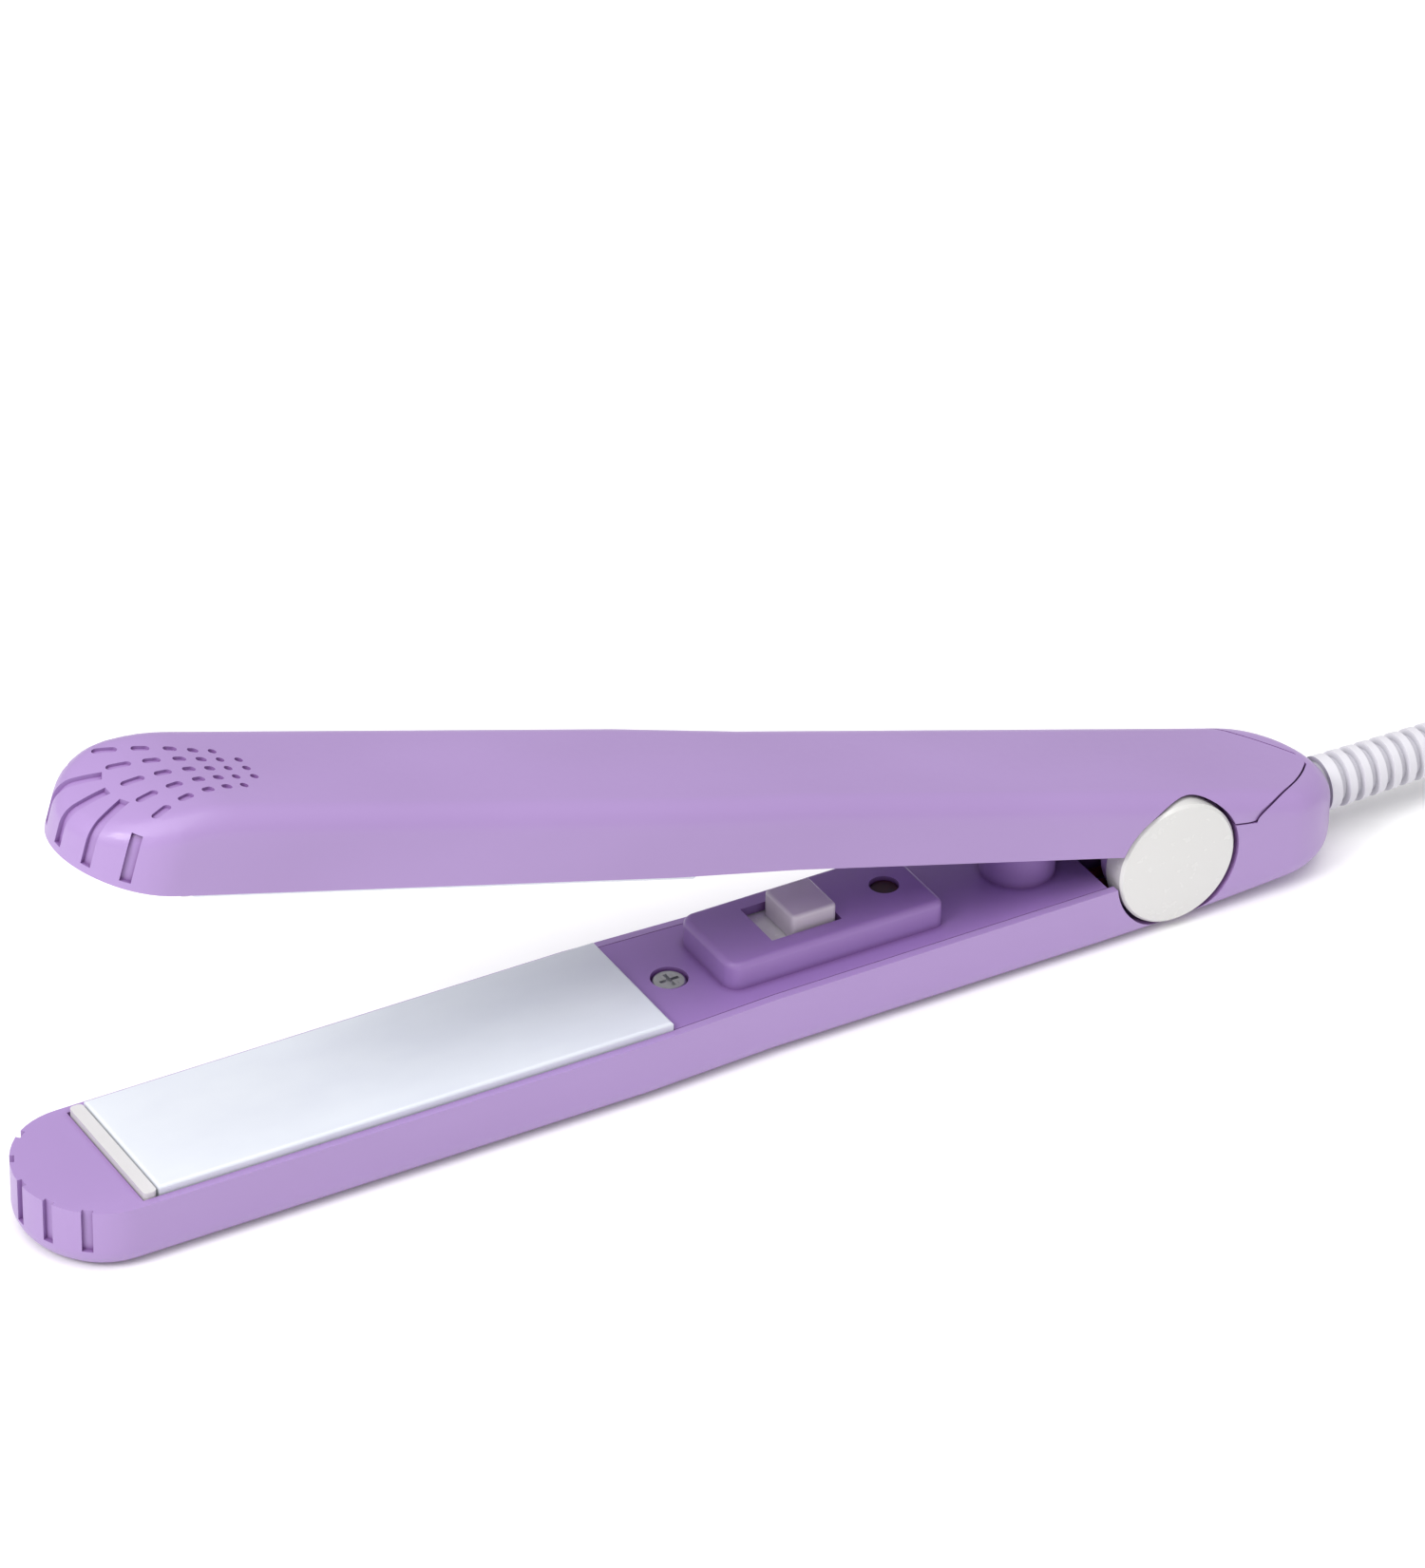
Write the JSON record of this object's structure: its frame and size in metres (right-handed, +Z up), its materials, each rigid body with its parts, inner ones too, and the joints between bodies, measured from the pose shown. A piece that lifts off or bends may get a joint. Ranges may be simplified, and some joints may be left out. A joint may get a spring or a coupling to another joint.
{
  "type": "mini hair straightening iron",
  "caption": "Slim hair iron with two sprung arms hinged near the tail, flat plates, a slide switch and a mains cord.",
  "frame": {"origin": "on the surface that the iron lies on, under the middle of its length, cord left out", "axes": "+X along the iron from its noses to its tail, +Z up, +Y across its width; the arms stand open"},
  "size_m": [0.3265, 0.0405, 0.0607],
  "materials": {
    "casing": "pearly lilac moulded plastic with a soft sheen",
    "cover": "lilac moulded plastic",
    "plate": "pale ceramic-coated metal plate",
    "strip": "pale heat-proof strip",
    "holder": "dark heat-proof moulding",
    "ceramic": "ceramic heater",
    "spring_steel": "bright spring steel",
    "screw_steel": "plated steel",
    "cap_plastic": "glossy white plastic",
    "switch_plastic": "pale grey plastic",
    "lens_plastic": "dark red lens",
    "board": "printed circuit board",
    "cord_white": "soft white sheath",
    "lead_red": "insulated wire",
    "tie_black": "woven hook and loop strap",
    "pin_brass": "nickel-plated brass"
  },
  "bodies": {
    "lower_arm": {"lower_shell": "casing", "lower_deck": "cover", "lower_plate": "plate", "lower_end_strip": "strip", "lower_plate_holder": "holder", "lower_heater": "ceramic", "lower_heater_clamp": "spring_steel", "lower_cover_screw": "screw_steel", "near_hinge_cap": "cap_plastic", "far_hinge_cap": "cap_plastic", "hinge_pin": "screw_steel", "opening_spring": "spring_steel", "switch_body": "cap_plastic", "indicator_lens": "lens_plastic", "indicator_lamp": "lens_plastic", "circuit_board": "board", "strain_relief": "cord_white", "cord_clamp": "switch_plastic", "clamp_screws": "screw_steel", "cord_sheath_end": "cord_white", "supply_leads": "lead_red", "lower_heater_leads": "lead_red", "cord": "cord_white", "cord_hank": "cord_white", "hank_tie": "tie_black", "plug_body": "cord_white", "plug_pins": "pin_brass"},
    "upper_arm": {"upper_shell": "casing", "upper_cover": "cover", "upper_plate": "plate", "upper_end_strip": "strip", "upper_plate_holder": "holder", "upper_heater": "ceramic", "upper_heater_clamp": "spring_steel", "upper_cover_screw": "screw_steel", "upper_heater_leads": "lead_red"},
    "switch_knob": {"switch_knob": "switch_plastic"}
  },
  "joints": [
    {"name": "arm_hinge", "type": "hinge", "parent": "lower_arm", "child": "upper_arm", "pos_m": [0.0635, 0, 0.0105], "axis": [0, -1, 0], "range_deg": [0, 16], "stiffness_Nm_per_rad": 0.25, "springref_deg": -20.05, "deforming": ["opening_spring"]},
    {"name": "switch_slide", "type": "slide", "parent": "lower_arm", "child": "switch_knob", "axis": [-1, 0, 0], "range_m": [0, 0.0029]}
  ]
}
